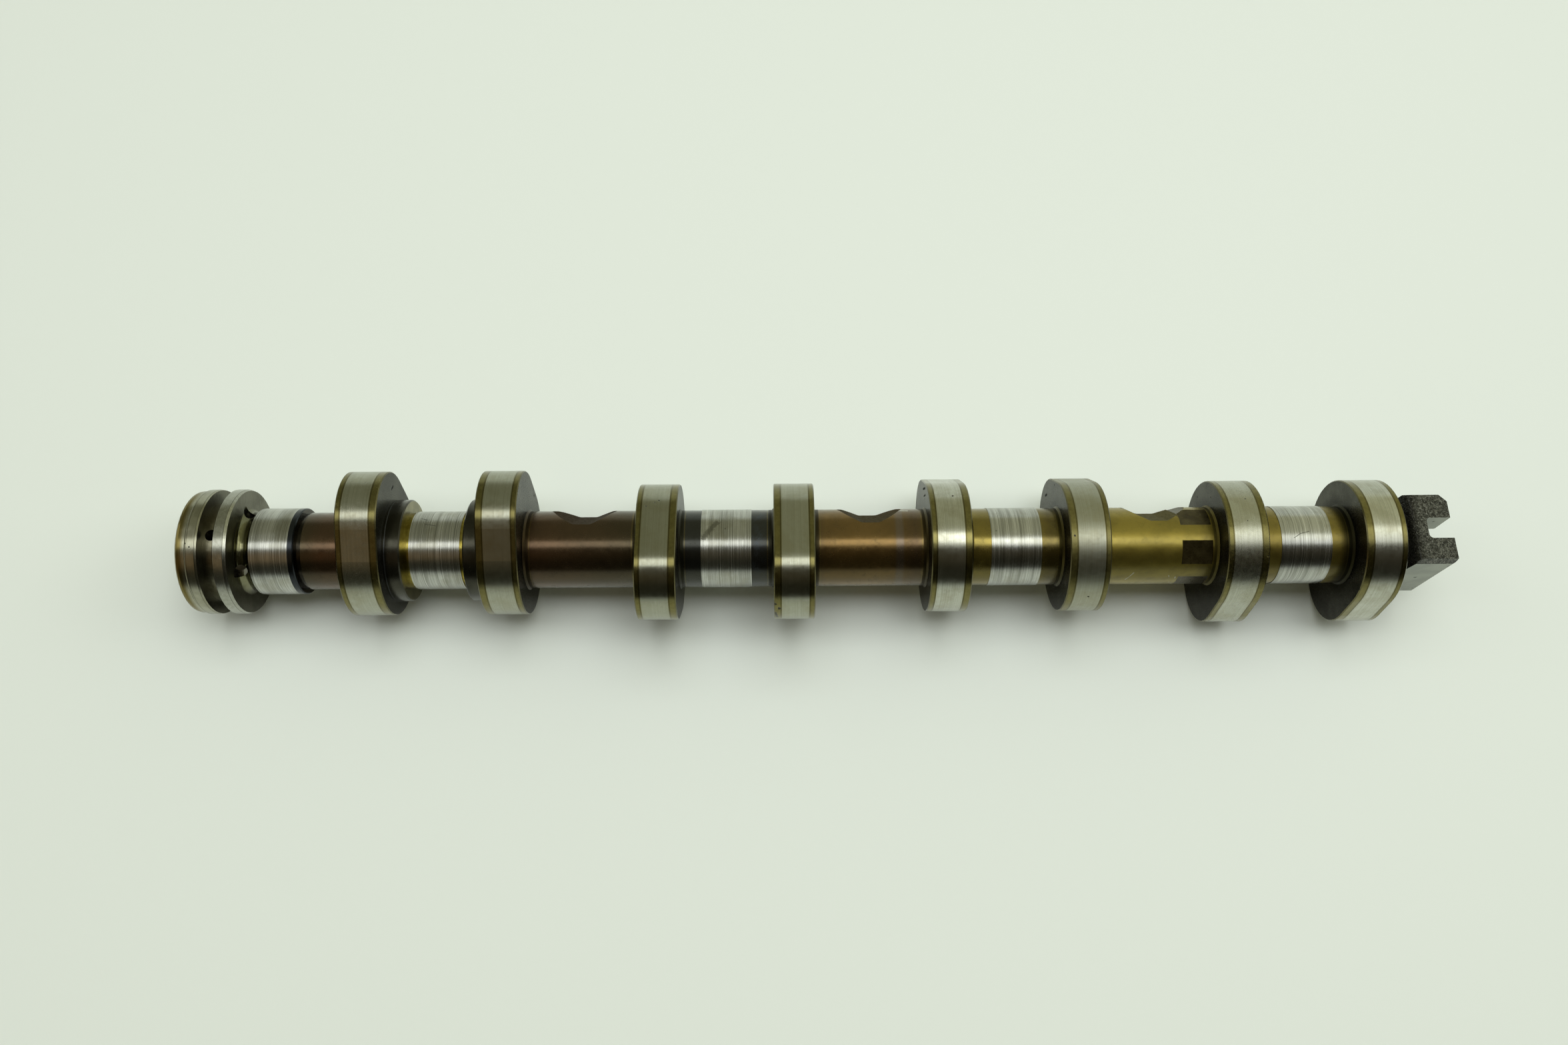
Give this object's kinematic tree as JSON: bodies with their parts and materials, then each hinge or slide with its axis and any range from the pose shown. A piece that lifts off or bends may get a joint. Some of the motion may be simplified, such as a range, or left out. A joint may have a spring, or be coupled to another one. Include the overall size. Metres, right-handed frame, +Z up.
{
  "type": "camshaft",
  "caption": "One-piece cast camshaft with paired lobes, ground journals, an oil-fed ringed front end and a slotted driving lug at the back.",
  "frame": {"origin": "on the shaft's axis, at its front face", "axes": "+X along the shaft from the front to the slotted lug, rising 0.76 degrees with it as it lies; +Z up; the shaft rests on the base of lobe 1 and the noses of lobes 5 and 7"},
  "size_m": [0.395, 0.0488, 0.0458],
  "materials": {
    "casting": "ground steel-grey lobes and journals, oil-varnished casting between them"
  },
  "bodies": {
    "root": {"camshaft": "casting"}
  },
  "joints": []
}
